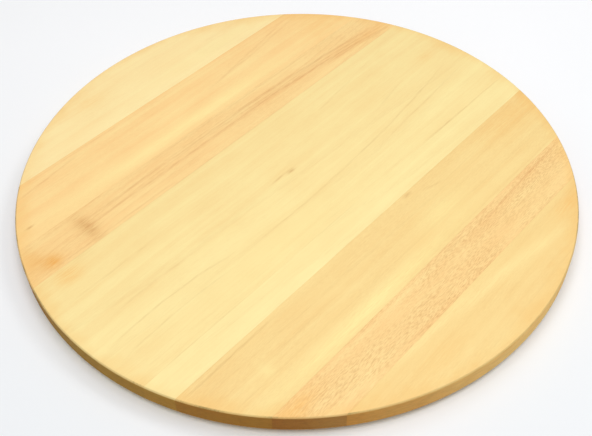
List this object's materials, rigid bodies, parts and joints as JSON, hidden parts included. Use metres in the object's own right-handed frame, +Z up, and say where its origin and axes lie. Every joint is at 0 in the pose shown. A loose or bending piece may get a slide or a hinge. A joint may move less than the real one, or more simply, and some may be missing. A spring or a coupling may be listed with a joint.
{
  "type": "lazy susan turntable",
  "caption": "Round edge-glued wooden serving board that spins on a slim ball bearing ring, let into its underside and standing on rubber feet.",
  "frame": {"origin": "on the table, under the centre of the board, on the spin axis", "axes": "+Z up along the spin axis; +X along the grain of the staves; +Y across them, so that the broad stave lies over the middle"},
  "size_m": [0.39, 0.39, 0.018],
  "materials": {
    "wood_1": "satin lacquer",
    "wood_2": "satin lacquer",
    "wood_3": "satin lacquer",
    "wood_4": "satin lacquer",
    "wood_5": "satin lacquer",
    "wood_6": "satin lacquer",
    "wood_7": "satin lacquer",
    "wood_8": "satin lacquer",
    "ring_aluminium": "satin",
    "zinc_steel": "bright",
    "ball_steel": "polished",
    "cage_nylon": "matte",
    "foot_rubber": "matte"
  },
  "bodies": {
    "base": {"fixed_ring": "ring_aluminium", "foot_1": "foot_rubber", "foot_2": "foot_rubber", "foot_3": "foot_rubber", "foot_4": "foot_rubber", "foot_5": "foot_rubber", "foot_6": "foot_rubber"},
    "rolling_set": {"ball_cage": "cage_nylon", "ball_01": "ball_steel", "ball_02": "ball_steel", "ball_03": "ball_steel", "ball_04": "ball_steel", "ball_05": "ball_steel", "ball_06": "ball_steel", "ball_07": "ball_steel", "ball_08": "ball_steel", "ball_09": "ball_steel", "ball_10": "ball_steel", "ball_11": "ball_steel", "ball_12": "ball_steel", "ball_13": "ball_steel", "ball_14": "ball_steel", "ball_15": "ball_steel", "ball_16": "ball_steel", "ball_17": "ball_steel", "ball_18": "ball_steel", "ball_19": "ball_steel", "ball_20": "ball_steel", "ball_21": "ball_steel", "ball_22": "ball_steel", "ball_23": "ball_steel", "ball_24": "ball_steel"},
    "turntable": {"turning_ring": "ring_aluminium", "filler_plug": "zinc_steel", "ring_screw_1": "zinc_steel", "ring_screw_2": "zinc_steel", "ring_screw_3": "zinc_steel", "ring_screw_4": "zinc_steel", "ring_screw_5": "zinc_steel", "ring_screw_6": "zinc_steel", "stave_1": "wood_1", "stave_2": "wood_2", "stave_3": "wood_3", "stave_4": "wood_4", "stave_5": "wood_5", "stave_6": "wood_6", "stave_7": "wood_7", "stave_8": "wood_8"}
  },
  "joints": [
    {"name": "board_spin", "type": "hinge", "parent": "base", "child": "turntable", "pos_m": [0, 0, 0.00675], "axis": [0, 0, 1], "continuous": true},
    {"name": "cage_spin", "type": "hinge", "parent": "base", "child": "rolling_set", "pos_m": [0, 0, 0.00675], "axis": [0, 0, 1], "continuous": true}
  ],
  "couplings": [
    {"joint": "cage_spin", "follows": "board_spin", "ratio": 0.5064}
  ]
}
